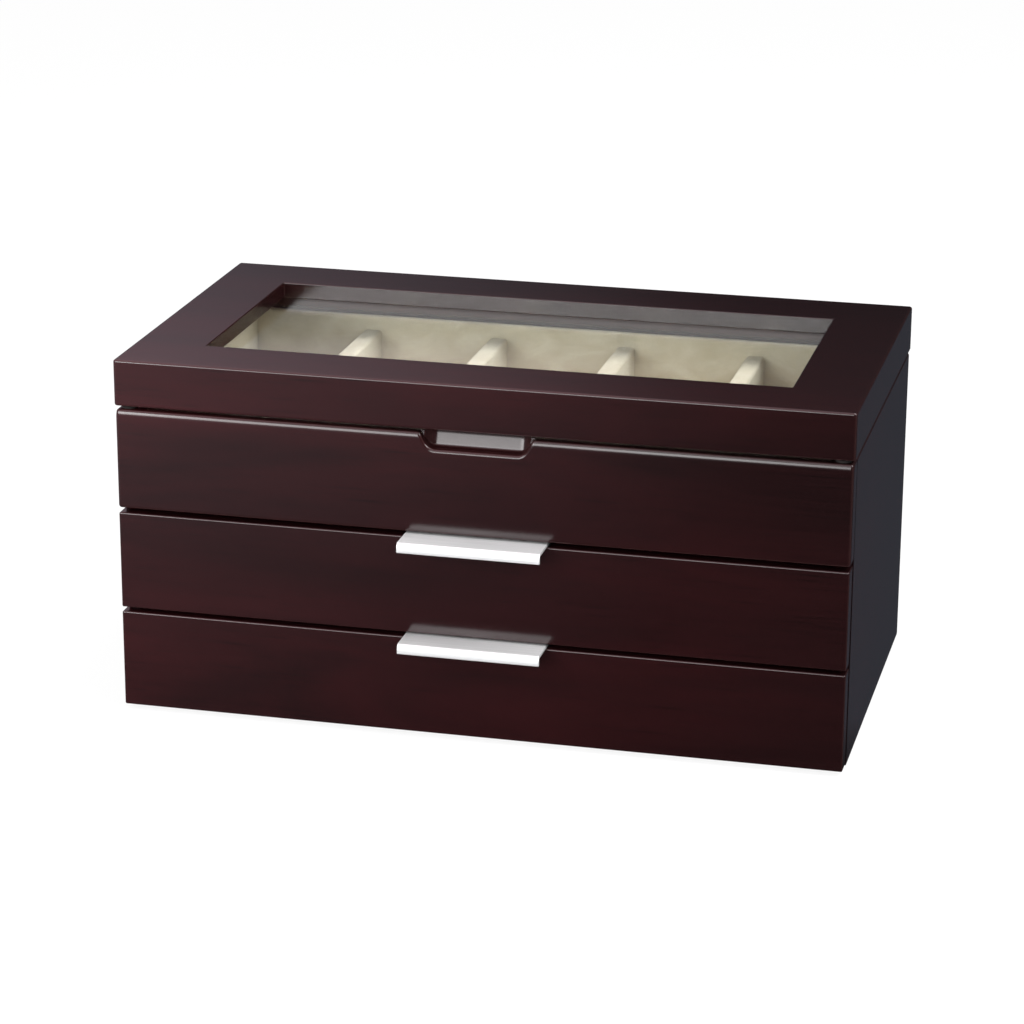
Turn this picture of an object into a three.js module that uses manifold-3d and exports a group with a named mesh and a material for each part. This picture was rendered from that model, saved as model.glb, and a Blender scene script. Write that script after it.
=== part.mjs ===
// Jewellery chest: a lid with a glass window over a five-compartment tray, and two drawers below.
// Millimetres. X points right, Y to the back and Z up. The origin is the centre of the footprint,
// on the surface that the felt base stands on. The case is drawn closed.
import * as THREE from "three";
import { mergeVertices } from "three/addons/utils/BufferGeometryUtils.js";
import Module from "manifold-3d";

const wasm = await Module();
wasm.setup();

// ---- driving dimensions ----
const lidWidth = 320;
const depth = 176;
const lidTop = 160;
const lidHeight = 20.5;
const lidGap = 1.5;
const caseWidth = 319;
const boardThick = 10;
const feltThick = 1.5;
const feltInset = 6;
const panelThick = 5;
const panelInset = 1;
const shelfThick = 4;

// The front, from the top: the fixed case front, then two drawer fronts.
const caseFrontHeight = 44.5;
const drawerFrontHeight = 43.5;
const drawerFrontWidth = 318.5;
const drawerGap = 2;
const frontClearance = 0.25;

// Lid: four mitred rails of L section round a window, with the glass under their flange.
const railWidth = 31.75;
const railWall = 9.5;
const railFlange = 7;
const glassThick = 2.5;
const glassOverlap = 13.75;
const beadSetback = 10;
const beadHeight = 6;

// Tray: suede-covered linings and dividers.
const liningThick = 2.25;
const liningGap = 0.25;
const liningRise = 1.75;
const floorLiningThick = 1;
const dividerCount = 4;
const dividerThick = 8.5;
const dividerTop = 133.25;
const dividerRound = 1.5;

// Finger notch in the top edge of the case front.
const notchTopWidth = 50;
const notchFloorWidth = 36;
const notchHeight = 7;
const notchDepth = 7.5;
const notchEase = 0.5;

// Drawer boxes.
const drawerSideThick = 7;
const drawerBottomThick = 3;
const drawerBottomInset = 1;
const drawerBoxHeight = 36;
const drawerSideClearance = 0.75;
const drawerLift = 0.25;
const drawerBack = 74;
const drawerLiningThick = 1.5;
const drawerLiningInset = 1;

// Pulls: a bent aluminium plate on the top edge of each drawer front.
const pullLength = 62;
const pullThick = 1.25;
const pullReach = 13.5;
const pullSeat = 8.5;
const pullLip = 4.5;
const pullScrewSpacing = 40;
const pullScrewInset = 4.75;
const pullScrew = { head: 2, shank: 1, length: 10.25 };
const screwClearance = 0.15;

// Hinges: two butt hinges whose knuckles stand behind the case.
const hingeSpacing = 190;
const hingeLength = 30;
const leafThick = 0.625;
const leafWidth = 10.75;
const knuckleRadius = 2;
const knuckleGap = 0.25;
const hingeBoreRadius = 1;
const hingePinRadius = 0.95;
const hingePinOverhang = 0.5;
const hingeScrewSpacing = 20;
const hingeScrewInset = 6.5;
const hingeScrew = { head: 1.5, shank: 0.9, length: 8 };

// Felt bumpers between case and lid.
const bumperRadius = 3.5;
const bumperThick = 1.25;

// ---- derived places ----
const front = -depth / 2;
const back = depth / 2;
const caseSide = caseWidth / 2;
const innerSide = caseSide - boardThick;
const innerBack = back - boardThick;
const caseTop = lidTop - lidHeight - lidGap;
const lidBottom = lidTop - lidHeight;
const caseFrontBottom = caseTop - caseFrontHeight;
const trayFloorTop = caseFrontBottom + shelfThick;
const upperFrontBottom = caseFrontBottom - drawerGap - drawerFrontHeight;
const lowerFrontBottom = upperFrontBottom - drawerGap - drawerFrontHeight;
const shelfBottom = upperFrontBottom - drawerGap / 2 - shelfThick / 2;
const shelfTop = shelfBottom + shelfThick;
const bottomPanelTop = feltThick + panelThick;
const liningFace = innerSide - liningGap - liningThick;
const liningBackFace = innerBack - liningGap - liningThick;
const hingeAxisY = back + knuckleRadius + knuckleGap;
const hingeAxisZ = caseTop + lidGap / 2;

const lacquer = new THREE.MeshStandardMaterial({ color: 0x341d1e, roughness: 0.22, metalness: 0 });
const stain = new THREE.MeshStandardMaterial({ color: 0x3a2522, roughness: 0.5, metalness: 0 });
const glass = new THREE.MeshStandardMaterial({ color: 0xdfe8e4, roughness: 0.03, metalness: 0 });
const suede = new THREE.MeshStandardMaterial({ color: 0xc9c1a8, roughness: 0.95, metalness: 0 });
const felt = new THREE.MeshStandardMaterial({ color: 0x2a211f, roughness: 1, metalness: 0 });
const aluminium = new THREE.MeshStandardMaterial({ color: 0xd6d8d8, roughness: 0.3, metalness: 1 });
const steel = new THREE.MeshStandardMaterial({ color: 0xa6a29a, roughness: 0.3, metalness: 1 });

// ---- helpers ----
function addMesh(parent, name, geometry, material) {
  const mesh = new THREE.Mesh(geometry, material);
  mesh.name = name;
  parent.add(mesh);
  return mesh;
}

// A rectangular board between its lowest and its highest corner.
function addBoard(parent, name, material, low, high) {
  const mesh = addMesh(parent, name, boxBetween(low, high), material);
  mesh.position.set(...low.map((value, i) => (value + high[i]) / 2));
}

function boxBetween(low, high) {
  return new THREE.BoxGeometry(...high.map((value, i) => value - low[i]));
}

function placedBox(low, high) {
  const centre = low.map((value, i) => (value + high[i]) / 2);
  return boxBetween(low, high).translate(...centre);
}

function solidOf(geometry) {
  const bare = geometry.clone();
  bare.deleteAttribute("normal");
  bare.deleteAttribute("uv");
  const merged = mergeVertices(bare);
  return new wasm.Manifold(
    new wasm.Mesh({
      numProp: 3,
      vertProperties: merged.attributes.position.array,
      triVerts: new Uint32Array(merged.index.array),
    }),
  );
}

function geometryOf(solid) {
  const mesh = solid.getMesh();
  const geometry = new THREE.BufferGeometry();
  geometry.setAttribute("position", new THREE.BufferAttribute(mesh.vertProperties, 3));
  geometry.setIndex(new THREE.BufferAttribute(mesh.triVerts, 1));
  geometry.computeVertexNormals();
  return geometry;
}

// A closed outline, drawn with x to the back and y up, extruded along X and centred there.
function extrudedAlongX(shape, length) {
  const turned = new THREE.Matrix4().makeBasis(
    new THREE.Vector3(0, 1, 0),
    new THREE.Vector3(0, 0, 1),
    new THREE.Vector3(1, 0, 0),
  );
  const options = { depth: length, bevelEnabled: false, curveSegments: 6 };
  return new THREE.ExtrudeGeometry(shape, options).applyMatrix4(turned).translate(-length / 2, 0, 0);
}

// A closed outline, drawn with x to the right and y up, extruded from yBack towards the front.
function extrudedAlongY(shape, yBack, length) {
  const options = { depth: length, bevelEnabled: false, curveSegments: 8 };
  return new THREE.ExtrudeGeometry(shape, options).rotateX(Math.PI / 2).translate(0, yBack, 0);
}

// A cylinder along X between two places on the hinge axis.
function cylinderAlongX(radius, x0, x1) {
  return new THREE.CylinderGeometry(radius, radius, x1 - x0, 20)
    .rotateZ(Math.PI / 2)
    .translate((x0 + x1) / 2, 0, 0);
}

// A solid of revolution about Z, from points of radius and height.
function turnedAboutZ(points) {
  const profile = points.map(([radius, height]) => new THREE.Vector2(radius, height));
  return new THREE.LatheGeometry(profile, 16).rotateX(Math.PI / 2);
}

// A countersunk screw that points down, with the face of its head at z 0.
function screwGeometry({ head, shank, length }) {
  return turnedAboutZ([[0, -length], [shank, shank - length], [shank, shank - head], [head, 0], [0, 0]]);
}

// The hole for that screw, open above.
function screwHole({ head, shank, length }) {
  const wide = head + screwClearance;
  const narrow = shank + screwClearance;
  const low = -length - screwClearance;
  return turnedAboutZ([[0, low], [narrow, low], [narrow, narrow - wide], [wide, 0], [wide, 1], [0, 1]]);
}

function withHoles(geometry, holes) {
  return geometryOf(holes.reduce((solid, hole) => solid.subtract(solidOf(hole)), solidOf(geometry)));
}

// ---- case ----
function addCaseBoards(parent) {
  for (const [side, sign] of [["left", -1], ["right", 1]]) {
    const xs = [sign * caseSide, sign * innerSide].sort((a, b) => a - b);
    addBoard(parent, `side_panel_${side}`, lacquer,
      [xs[0], front + boardThick, feltThick], [xs[1], back, caseTop]);
  }
  const panelFront = front + boardThick + panelInset;
  addBoard(parent, "bottom_panel", stain,
    [-innerSide, panelFront, feltThick], [innerSide, innerBack, bottomPanelTop]);
  addBoard(parent, "drawer_shelf", stain,
    [-innerSide, panelFront, shelfBottom], [innerSide, innerBack, shelfTop]);
  addBoard(parent, "tray_floor", stain,
    [-innerSide, front + boardThick, caseFrontBottom], [innerSide, innerBack, trayFloorTop]);
}

function addBackPanel(parent) {
  const panel = placedBox([-innerSide, innerBack, feltThick], [innerSide, back, caseTop]);
  const holes = hingeScrewPlaces().map(([x, y]) =>
    screwHole(hingeScrew).translate(x, y, caseTop + leafThick),
  );
  addMesh(parent, "back_panel", withHoles(panel, holes), lacquer);
}

function addFeltBase(parent) {
  addBoard(parent, "felt_base", felt,
    [-caseSide + feltInset, front + boardThick + feltInset, 0],
    [caseSide - feltInset, back - feltInset, feltThick]);
}

// The notch's outline: a flat floor whose ends sweep up in an S to the top edge.
function notchOutline() {
  const top = notchTopWidth / 2;
  const floor = notchFloorWidth / 2;
  const low = caseTop - notchHeight;
  const ease = (top - floor) * notchEase;
  const shape = new THREE.Shape();
  shape.moveTo(-top, caseTop + 1);
  shape.lineTo(-top, caseTop);
  shape.bezierCurveTo(-top + ease, caseTop, -floor - ease, low, -floor, low);
  shape.lineTo(floor, low);
  shape.bezierCurveTo(floor + ease, low, top - ease, caseTop, top, caseTop);
  shape.lineTo(top, caseTop + 1);
  return shape;
}

function addCaseFront(parent) {
  const board = placedBox([-caseSide, front, caseFrontBottom], [caseSide, front + boardThick, caseTop]);
  const notch = extrudedAlongY(notchOutline(), front + notchDepth, notchDepth + 1);
  addMesh(parent, "case_front", withHoles(board, [notch]), lacquer);
}

function addTrayLinings(parent) {
  const low = trayFloorTop + liningGap + floorLiningThick;
  const high = caseTop + liningRise;
  const outerX = innerSide - liningGap;
  const outerY = innerBack - liningGap;
  addBoard(parent, "tray_lining_floor", suede,
    [-outerX, -outerY, trayFloorTop + liningGap], [outerX, outerY, low]);
  addBoard(parent, "tray_lining_back", suede, [-outerX, liningBackFace, low], [outerX, outerY, high]);
  addBoard(parent, "tray_lining_front", suede,
    [-outerX, -outerY, low], [outerX, -liningBackFace, high]);
  addBoard(parent, "tray_lining_left", suede,
    [-outerX, -liningBackFace + liningGap, low], [-liningFace, liningBackFace - liningGap, high]);
  addBoard(parent, "tray_lining_right", suede,
    [liningFace, -liningBackFace + liningGap, low], [outerX, liningBackFace - liningGap, high]);
}

// Padded dividers with round top edges, evenly spaced between the side linings.
function addTrayDividers(parent) {
  const compartment = (2 * liningFace - dividerCount * dividerThick) / (dividerCount + 1);
  const half = dividerThick / 2;
  const shoulder = dividerTop - dividerRound;
  const low = trayFloorTop + 2 * liningGap + floorLiningThick;
  const outline = new THREE.Shape();
  outline.moveTo(-half, low);
  outline.lineTo(half, low);
  outline.absarc(half - dividerRound, shoulder, dividerRound, 0, Math.PI / 2, false);
  outline.absarc(dividerRound - half, shoulder, dividerRound, Math.PI / 2, Math.PI, false);
  const run = 2 * (liningBackFace - liningGap);
  for (let i = 1; i <= dividerCount; i++) {
    const x = -liningFace + i * compartment + (i - 0.5) * dividerThick;
    const geometry = extrudedAlongY(outline, run / 2, run);
    addMesh(parent, `tray_divider_${i}`, geometry, suede).position.x = x;
  }
}

function addBumpers(parent) {
  for (const [side, sign] of [["left", -1], ["right", 1]]) {
    const disc = turnedAboutZ([[0, 0], [bumperRadius, 0], [bumperRadius, bumperThick], [0, bumperThick]]);
    const bumper = addMesh(parent, `lid_bumper_${side}`, disc, felt);
    bumper.position.set(sign * (caseSide - boardThick / 2), front + boardThick / 2, caseTop);
  }
}

// ---- hinges ----
// The hinge screws' places, two to a leaf and the same in the case and in the lid.
function hingeScrewPlaces() {
  const xs = [-1, 1].flatMap((side) =>
    [-1, 1].map((end) => (side * hingeSpacing + end * hingeScrewSpacing) / 2),
  );
  return xs.map((x) => [x, hingeAxisY - hingeScrewInset]);
}

// A leaf with its knuckles. The leaf lies flat, from z0 to z1 below or above the axis.
function leafGeometry(z0, z1, knuckles, cleared) {
  let leaf = solidOf(placedBox([-hingeLength / 2, -leafWidth, z0], [hingeLength / 2, 0, z1]));
  for (const [x0, x1] of cleared) {
    leaf = leaf.subtract(solidOf(cylinderAlongX(knuckleRadius + knuckleGap, x0, x1)));
  }
  for (const [x0, x1] of knuckles) {
    leaf = leaf.add(solidOf(cylinderAlongX(knuckleRadius, x0, x1)));
  }
  const bore = cylinderAlongX(hingeBoreRadius, -hingeLength, hingeLength);
  return withHoles(geometryOf(leaf), [bore]);
}

function leafScrewHoles(faceZ, facesUp) {
  return [-1, 1].map((end) =>
    screwHole(hingeScrew)
      .rotateX(facesUp ? 0 : Math.PI)
      .translate((end * hingeScrewSpacing) / 2, -hingeScrewInset, faceZ),
  );
}

// The case leaf has the two outer knuckles and the lid leaf the middle one.
function addHinges(caseGroup, lidGroup) {
  const end = hingeLength / 2;
  const middle = hingeLength / 6;
  const outer = [[-end, -middle], [middle, end]];
  const outerCleared = [[-end - 1, -middle + knuckleGap], [middle - knuckleGap, end + 1]];
  const inner = [[-middle + knuckleGap, middle - knuckleGap]];
  const caseFace = leafThick - lidGap / 2;
  const caseLeaf = withHoles(
    leafGeometry(-lidGap / 2, caseFace, outer, [[-middle, middle]]),
    leafScrewHoles(caseFace, true),
  );
  const lidLeaf = withHoles(
    leafGeometry(-caseFace, lidGap / 2, inner, outerCleared),
    leafScrewHoles(-caseFace, false),
  );
  const pin = cylinderAlongX(hingePinRadius, -end - hingePinOverhang, end + hingePinOverhang);
  for (const [side, sign] of [["left", -1], ["right", 1]]) {
    const place = [(sign * hingeSpacing) / 2, hingeAxisY, hingeAxisZ];
    addMesh(caseGroup, `hinge_case_leaf_${side}`, caseLeaf, steel).position.set(...place);
    addMesh(lidGroup, `hinge_lid_leaf_${side}`, lidLeaf, steel).position.set(...place);
    addMesh(caseGroup, `hinge_pin_${side}`, pin, steel).position.set(...place);
  }
  hingeScrewPlaces().forEach(([x, y], i) => {
    const caseScrew = addMesh(caseGroup, `hinge_case_screw_${i + 1}`, screwGeometry(hingeScrew), steel);
    caseScrew.position.set(x, y, hingeAxisZ + caseFace);
    const lidScrew = addMesh(lidGroup, `hinge_lid_screw_${i + 1}`, screwGeometry(hingeScrew), steel);
    lidScrew.rotation.x = Math.PI;
    lidScrew.position.set(x, y, hingeAxisZ - caseFace);
  });
}

// ---- lid ----
// A rail along X with its outer face at -distance, mitred at both ends.
function railGeometry(length, distance) {
  const outline = new THREE.Shape();
  outline.moveTo(0, 0);
  outline.lineTo(railWall, 0);
  outline.lineTo(railWall, lidHeight - railFlange);
  outline.lineTo(railWidth, lidHeight - railFlange);
  outline.lineTo(railWidth, lidHeight);
  outline.lineTo(0, lidHeight);
  const rail = extrudedAlongX(outline, length);
  const corners = rail.attributes.position;
  for (let i = 0; i < corners.count; i++) {
    const x = corners.getX(i);
    corners.setX(i, x - Math.sign(x) * corners.getY(i));
  }
  return rail.translate(0, -distance, lidBottom);
}

function addLidRails(parent) {
  const long = railGeometry(lidWidth, depth / 2);
  const short = railGeometry(depth, lidWidth / 2);
  const holes = hingeScrewPlaces().map(([x, y]) =>
    screwHole(hingeScrew).rotateX(Math.PI).translate(x, -y, lidBottom - leafThick),
  );
  addMesh(parent, "lid_rail_front", long, lacquer);
  addMesh(parent, "lid_rail_right", short, lacquer).rotation.z = Math.PI / 2;
  addMesh(parent, "lid_rail_back", withHoles(long, holes), lacquer).rotation.z = Math.PI;
  addMesh(parent, "lid_rail_left", short, lacquer).rotation.z = -Math.PI / 2;
}

// The pane lies against the underside of the flange, and four wooden beads hold it there.
function addGlass(parent) {
  const windowX = lidWidth / 2 - railWidth;
  const windowY = depth / 2 - railWidth;
  const glassTop = lidTop - railFlange;
  const glassBottom = glassTop - glassThick;
  addBoard(parent, "glass_pane", glass,
    [-windowX - glassOverlap, -windowY - glassOverlap, glassBottom],
    [windowX + glassOverlap, windowY + glassOverlap, glassTop]);
  const beadX = windowX + beadSetback;
  const beadY = windowY + beadSetback;
  const wallX = lidWidth / 2 - railWall;
  const wallY = depth / 2 - railWall;
  const beadBottom = glassBottom - beadHeight;
  addBoard(parent, "glass_bead_front", stain,
    [-wallX, -wallY, beadBottom], [wallX, -beadY, glassBottom]);
  addBoard(parent, "glass_bead_back", stain, [-wallX, beadY, beadBottom], [wallX, wallY, glassBottom]);
  addBoard(parent, "glass_bead_left", stain,
    [-wallX, -beadY, beadBottom], [-beadX, beadY, glassBottom]);
  addBoard(parent, "glass_bead_right", stain, [beadX, -beadY, beadBottom], [wallX, beadY, glassBottom]);
}

// ---- drawers ----
// The plate's outline in Y and Z, from z 0 on the drawer front's top edge. Its lip turns down.
function pullOutline() {
  const tip = front - pullReach;
  const bend = pullThick;
  const low = pullThick - pullLip;
  const tipRound = pullThick / 2;
  const outline = new THREE.Shape();
  outline.moveTo(front + pullSeat, 0);
  outline.lineTo(front + pullSeat, pullThick);
  outline.lineTo(tip + bend, pullThick);
  outline.absarc(tip + bend, pullThick - bend, bend, Math.PI / 2, Math.PI, false);
  outline.lineTo(tip, low + tipRound);
  outline.absarc(tip + tipRound, low + tipRound, tipRound, Math.PI, 2 * Math.PI, false);
  outline.lineTo(tip + pullThick, 0);
  return outline;
}

// The pull's screws go down through the plate into the drawer front.
function pullScrewPlaces() {
  const y = front + pullScrewInset;
  return [-1, 1].map((end) => [(end * pullScrewSpacing) / 2, y, drawerFrontHeight + pullThick]);
}

function pullScrewHoles() {
  return pullScrewPlaces().map((place) => screwHole(pullScrew).translate(...place));
}

function addPull(parent, name) {
  const plate = extrudedAlongX(pullOutline(), pullLength).translate(0, 0, drawerFrontHeight);
  addMesh(parent, `${name}_pull`, withHoles(plate, pullScrewHoles()), aluminium);
  pullScrewPlaces().forEach((place, i) => {
    const screw = addMesh(parent, `${name}_pull_screw_${i + 1}`, screwGeometry(pullScrew), steel);
    screw.position.set(...place);
  });
}

function addDrawerFront(parent, name) {
  const half = drawerFrontWidth / 2;
  const board = placedBox(
    [-half, front, 0],
    [half, front + boardThick - frontClearance, drawerFrontHeight],
  );
  addMesh(parent, `${name}_front`, withHoles(board, pullScrewHoles()), lacquer);
}

// The box behind the front, from boxBottom up. Its suede lining is a thin open tray.
function addDrawerBox(parent, name, boxBottom) {
  const outerX = innerSide - drawerSideClearance;
  const innerX = outerX - drawerSideThick;
  const frontFace = front + boardThick - frontClearance;
  const backFace = drawerBack - drawerSideThick;
  const boxTop = boxBottom + drawerBoxHeight;
  const bottomLow = boxBottom + drawerBottomInset;
  const bottomTop = bottomLow + drawerBottomThick;
  addBoard(parent, `${name}_side_left`, stain,
    [-outerX, frontFace, boxBottom], [-innerX, drawerBack, boxTop]);
  addBoard(parent, `${name}_side_right`, stain,
    [innerX, frontFace, boxBottom], [outerX, drawerBack, boxTop]);
  addBoard(parent, `${name}_back`, stain,
    [-innerX, backFace, boxBottom], [innerX, drawerBack, boxTop]);
  addBoard(parent, `${name}_bottom`, stain,
    [-innerX, frontFace, bottomLow], [innerX, backFace, bottomTop]);
  const skin = liningGap + drawerLiningThick;
  const shell = placedBox(
    [-innerX + liningGap, frontFace + liningGap, bottomTop + liningGap],
    [innerX - liningGap, backFace - liningGap, boxTop - drawerLiningInset],
  );
  const hollow = placedBox(
    [-innerX + skin, frontFace + skin, bottomTop + skin],
    [innerX - skin, backFace - skin, boxTop],
  );
  addMesh(parent, `${name}_lining`, withHoles(shell, [hollow]), suede);
}

// A drawer's group stands at the bottom edge of its front.
function addDrawer(parent, name, frontBottom, runnerTop) {
  const drawer = new THREE.Group();
  drawer.position.z = frontBottom;
  parent.add(drawer);
  addDrawerFront(drawer, name);
  addPull(drawer, name);
  addDrawerBox(drawer, name, runnerTop + drawerLift - frontBottom);
}

// ---- assembly ----
const chest = new THREE.Group();
const caseGroup = new THREE.Group();
const lidGroup = new THREE.Group();
chest.add(caseGroup, lidGroup);

addCaseBoards(caseGroup);
addBackPanel(caseGroup);
addCaseFront(caseGroup);
addFeltBase(caseGroup);
addTrayLinings(caseGroup);
addTrayDividers(caseGroup);
addBumpers(caseGroup);
addHinges(caseGroup, lidGroup);
addLidRails(lidGroup);
addGlass(lidGroup);
addDrawer(chest, "upper_drawer", upperFrontBottom, shelfTop);
addDrawer(chest, "lower_drawer", lowerFrontBottom, bottomPanelTop);

export default chest;
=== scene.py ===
"""Looks for the jewellery chest: lacquered boards, glass, suede linings, pulls and hinges.

Metres, in the frame of the CAD model: X to the right, Y to the back, Z up.
"""
import math

import bmesh
import bpy
from mathutils import Matrix, Vector

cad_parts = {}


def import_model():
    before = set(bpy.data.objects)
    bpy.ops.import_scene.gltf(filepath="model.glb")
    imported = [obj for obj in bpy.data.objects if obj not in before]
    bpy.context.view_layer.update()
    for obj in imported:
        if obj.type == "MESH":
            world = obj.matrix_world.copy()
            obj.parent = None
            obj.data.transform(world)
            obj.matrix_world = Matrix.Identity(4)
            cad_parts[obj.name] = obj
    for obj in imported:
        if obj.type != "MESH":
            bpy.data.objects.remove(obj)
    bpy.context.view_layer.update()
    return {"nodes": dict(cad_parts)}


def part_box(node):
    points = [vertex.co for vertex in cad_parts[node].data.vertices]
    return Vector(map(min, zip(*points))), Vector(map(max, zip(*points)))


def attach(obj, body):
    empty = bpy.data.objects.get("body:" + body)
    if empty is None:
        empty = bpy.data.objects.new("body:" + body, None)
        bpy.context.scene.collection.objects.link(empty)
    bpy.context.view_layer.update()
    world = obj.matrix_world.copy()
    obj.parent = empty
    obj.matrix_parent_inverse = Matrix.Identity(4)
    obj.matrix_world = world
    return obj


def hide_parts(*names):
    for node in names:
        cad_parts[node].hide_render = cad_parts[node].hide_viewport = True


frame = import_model()
MM = 0.001

# ---- driving sizes of the looks ----
# Radii of rounded edges.
LID_EDGE = 1.1 * MM
CASE_EDGE = 1.5 * MM
DRAWER_EDGE = 0.7 * MM
INNER_EDGE = 0.5 * MM
RIM_EDGE = 0.8 * MM
METAL_EDGE = 0.2 * MM
HINGE_EDGE = 0.1 * MM
FELT_EDGE = 0.6 * MM
FLOOR_PAD_EDGE = 0.4 * MM
LINING_EDGE = 0.5 * MM
WINDOW_CORNER = 0.4 * MM
HAIR = 0.02 * MM
ARC_STEPS = 6
METAL_STEPS = 3

# The case front's rounded top edge, and the finger notch in it. BROW and BOWL are shares of RUN.
CASE_LIP_TALL = 3 * MM
CASE_LIP_DEEP = 1.5 * MM
NOTCH_LIP = 1.8 * MM
NOTCH_TOP = 51 * MM
NOTCH_DEEP = 7 * MM
NOTCH_RUN = 8 * MM
NOTCH_BROW = 0.32
NOTCH_BOWL = 0.72
NOTCH_BACK = 7.5 * MM
NOTCH_WALL_SLOPE = 0.29
NOTCH_COVE = 1.5 * MM
NOTCH_END_ROUND = 6 * MM
NOTCH_END_INSET = 2 * MM
NOTCH_END_DEEP = 3.3 * MM
NOTCH_STEPS = 16

# Padding. PAD_ROUND is a share of a pad's thickness, and BUMPER_DOME of a bumper's height.
PAD_STEPS = 14
PAD_CROWN = 0.4 * MM
PAD_ROUND = 0.45
DIVIDER_END = 0.3 * MM
DIVIDER_CROWN = 0.15 * MM
DIVIDER_ROUND = 1.5 * MM
LINING_SKIN = 1.5 * MM
LINING_COVE = 3 * MM
LINING_CORNER = 2 * MM
BUMPER_TAPER = 0.3 * MM
BUMPER_DOME = 0.8

# Pulls and screws. The screws' shares are of the head's radius.
PULL_PLATE = 1.25 * MM
PULL_BEND_TALL = 3.2 * MM
PULL_BEND_DEEP = 1.7 * MM
SCREW_ROOM = 0.15 * MM
SCREW_SHANK = 0.5
CROSS_LONG = 1.1
CROSS_WIDE = 0.26
CROSS_DEEP = 0.9

DRAWERS = ("upper_drawer", "lower_drawer")

# How bright the surroundings are to light that isn't mirrored.
AMBIENT = 0.5

# The camera, in degrees, metres and millimetres of focal length.
CAMERA_AZIMUTH = 13.55
CAMERA_ELEVATION = 18.35
CAMERA_DISTANCE = 1.5205
CAMERA_AIM = Vector((-0.0053, 0.0, 0.0761))
CAMERA_ROLL = 0.29
CAMERA_LENS = 119.2


# ---- mesh helpers ----
def arc(centre, radius, start, end, steps=ARC_STEPS):
    """Points on a circle in a plane, from one angle to another, in degrees."""
    points = []
    for i in range(steps + 1):
        angle = math.radians(start + (end - start) * i / steps)
        points.append((centre[0] + radius * math.cos(angle), centre[1] + radius * math.sin(angle)))
    return points


def edge_steps(radius, steps=ARC_STEPS):
    """How an edge of that radius rounds off: pairs of (distance from the end, inset)."""
    pairs = []
    for i in range(steps + 1):
        angle = math.pi / 2 * i / steps
        pairs.append((radius * (1 - math.sin(angle)), radius * (1 - math.cos(angle))))
    return pairs


def rounded_rectangle(low, high, radius):
    """A closed outline between two corners of a plane, with round corners."""
    (u0, v0), (u1, v1) = low, high
    return (
        arc((u1 - radius, v0 + radius), radius, -90, 0)
        + arc((u1 - radius, v1 - radius), radius, 0, 90)
        + arc((u0 + radius, v1 - radius), radius, 90, 180)
        + arc((u0 + radius, v0 + radius), radius, 180, 270)
    )


def circle(x, y, z, radius, steps=32):
    """A level circle of points."""
    angles = [2 * math.pi * i / steps for i in range(steps)]
    return [Vector((x + radius * math.cos(a), y + radius * math.sin(a), z)) for a in angles]


def on_axes(*pairs):
    """A point from pairs of axis and value."""
    point = Vector()
    for axis, value in zip(pairs[::2], pairs[1::2]):
        point[axis] = value
    return point


def level_ring(outline, z):
    """An outline in X and Y as points at one height."""
    return [Vector((x, y, z)) for x, y in outline]


def stations(low, high, edge, middle=(), steps=ARC_STEPS):
    """Places along an axis, each with its inset: rounded ends, and places of full size between."""
    ends = edge_steps(edge, steps)
    first = [(low + gone, inset) for gone, inset in reversed(ends)]
    last = [(high - gone, inset) for gone, inset in ends]
    return first + [(place, 0.0) for place in middle] + last


def loft(rings, joined=False):
    """A bmesh skinned over rings of points. The ends are capped unless the last joins the first."""
    bm = bmesh.new()
    rows = [[bm.verts.new(point) for point in ring] for ring in rings]
    pairs = list(zip(rows, rows[1:]))
    if joined:
        pairs.append((rows[-1], rows[0]))
    for one, two in pairs:
        for i in range(len(one)):
            j = (i + 1) % len(one)
            bm.faces.new((one[i], one[j], two[j], two[i]))
    if not joined:
        bm.faces.new(reversed(rows[0]))
        bm.faces.new(rows[-1])
    bmesh.ops.remove_doubles(bm, verts=bm.verts, dist=1e-7)
    bmesh.ops.dissolve_degenerate(bm, edges=bm.edges, dist=1e-7)
    bmesh.ops.recalc_face_normals(bm, faces=bm.faces)
    return bm


def new_object(name, bm):
    """An object in the scene from a bmesh."""
    mesh = bpy.data.meshes.new(name)
    bm.to_mesh(mesh)
    bm.free()
    made = bpy.data.objects.new(name, mesh)
    bpy.context.scene.collection.objects.link(made)
    return made


def cut(made, holes):
    """Cuts each bmesh in holes out of an object's mesh."""
    cutters = [new_object(f"{made.name}_cutter", hole) for hole in holes]
    for cutter in cutters:
        made.modifiers.new("cut", "BOOLEAN").object = cutter
    bpy.context.view_layer.update()
    solid = made.evaluated_get(bpy.context.evaluated_depsgraph_get())
    whole = bpy.data.meshes.new_from_object(solid)
    made.modifiers.clear()
    made.data = whole
    for cutter in cutters:
        bpy.data.objects.remove(cutter)


def piece(name, bm, body, material, replaced, holes=()):
    """A finished piece of the object from a bmesh, which stands for the CAD nodes it replaces."""
    made = new_object(name, bm)
    if holes:
        cut(made, holes)
    mesh = made.data
    mesh.materials.clear()
    mesh.materials.append(material)
    mesh.shade_smooth()
    weighted = made.modifiers.new("flat faces stay flat", "WEIGHTED_NORMAL")
    weighted.weight = 100
    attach(made, body)
    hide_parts(*replaced)
    return made


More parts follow.
